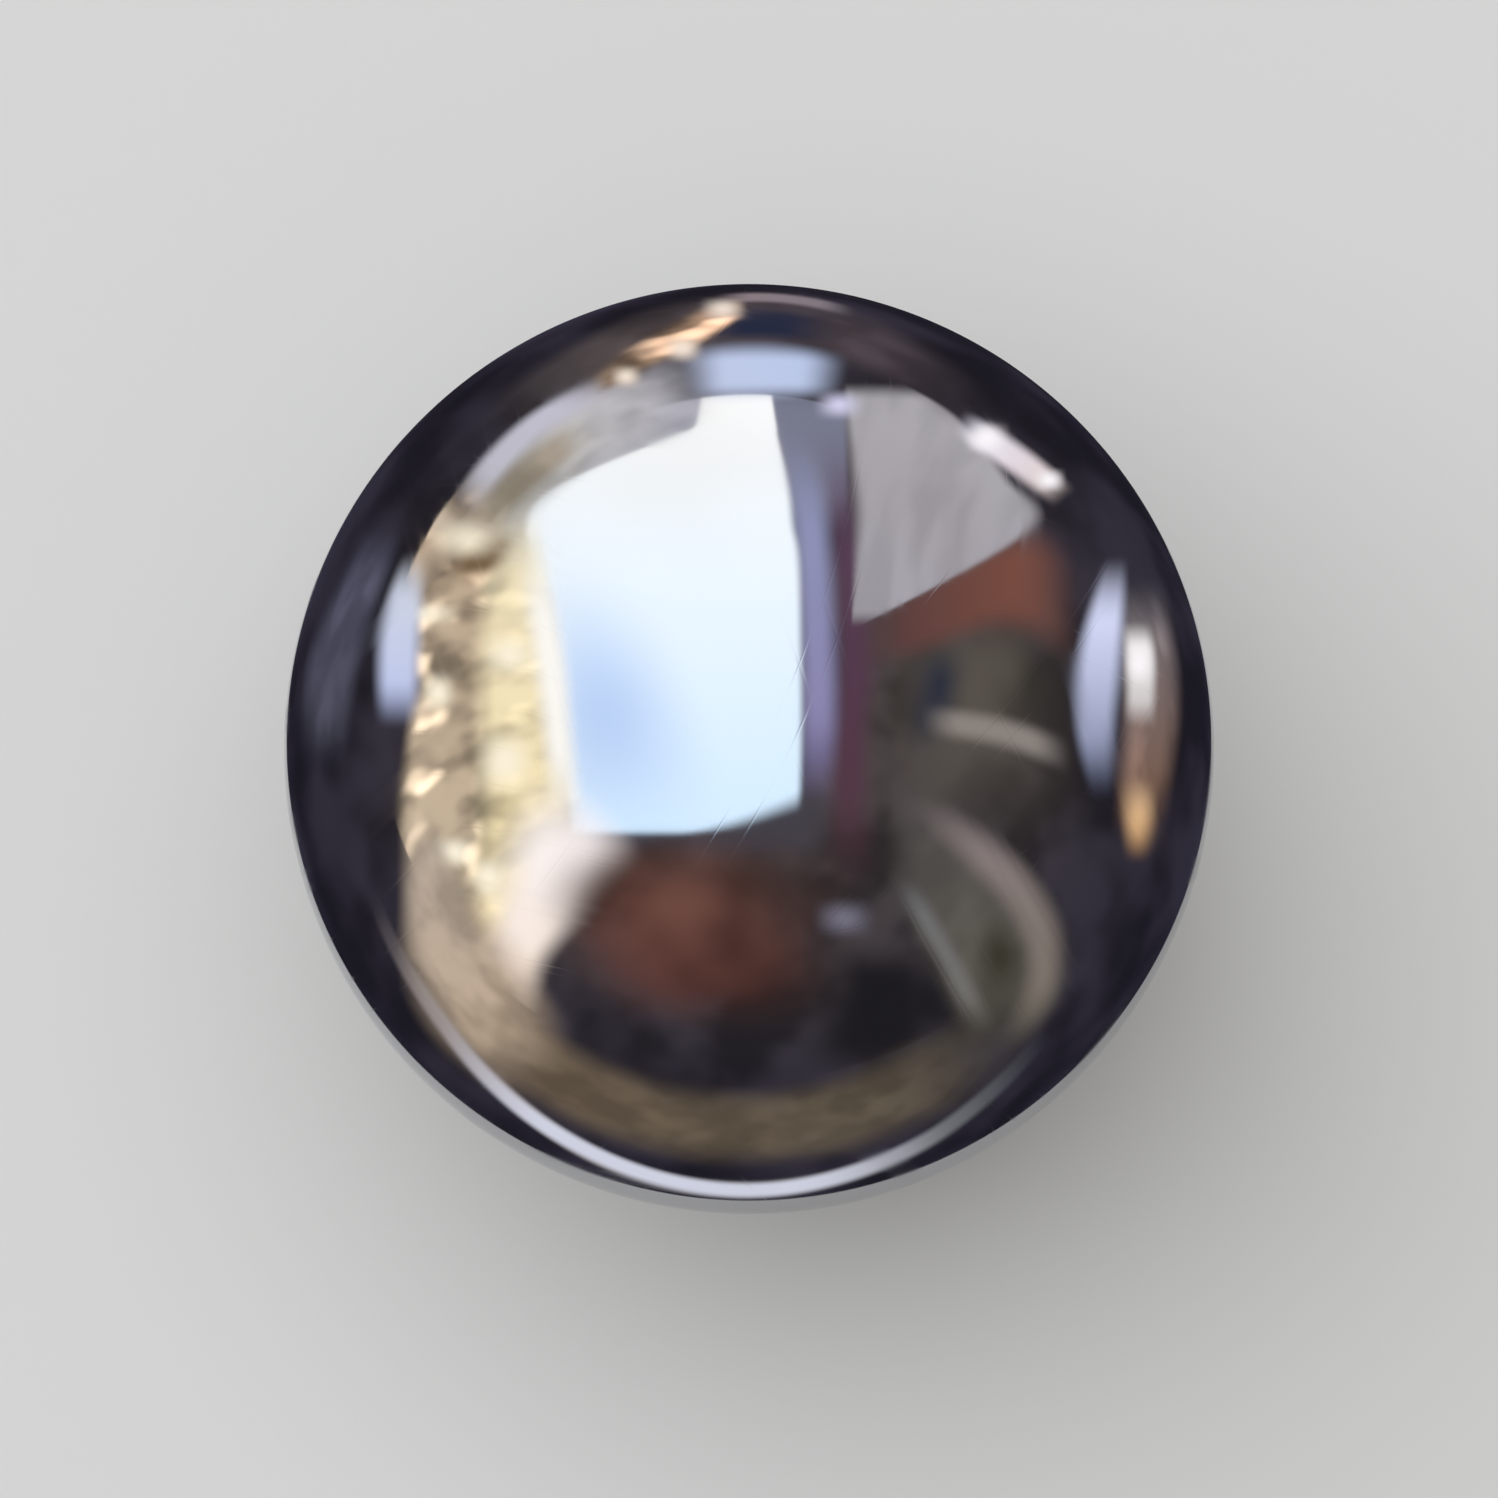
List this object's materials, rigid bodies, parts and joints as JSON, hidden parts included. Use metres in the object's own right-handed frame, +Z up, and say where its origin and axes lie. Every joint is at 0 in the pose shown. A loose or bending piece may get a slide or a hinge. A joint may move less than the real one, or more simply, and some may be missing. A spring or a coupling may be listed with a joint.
{
  "type": "steel ball",
  "caption": "Solid, mirror-polished steel ball: a true sphere with no flat or hole, that rolls or turns in any direction in a race, cup or detent.",
  "frame": {"origin": "centre of the ball", "axes": "+Z up as the ball lies in its seat; the ball is the same about every axis through its centre"},
  "size_m": [0.012, 0.012, 0.012],
  "materials": {
    "polished_steel": "polished"
  },
  "bodies": {
    "root": {"ball": "polished_steel"}
  },
  "joints": []
}
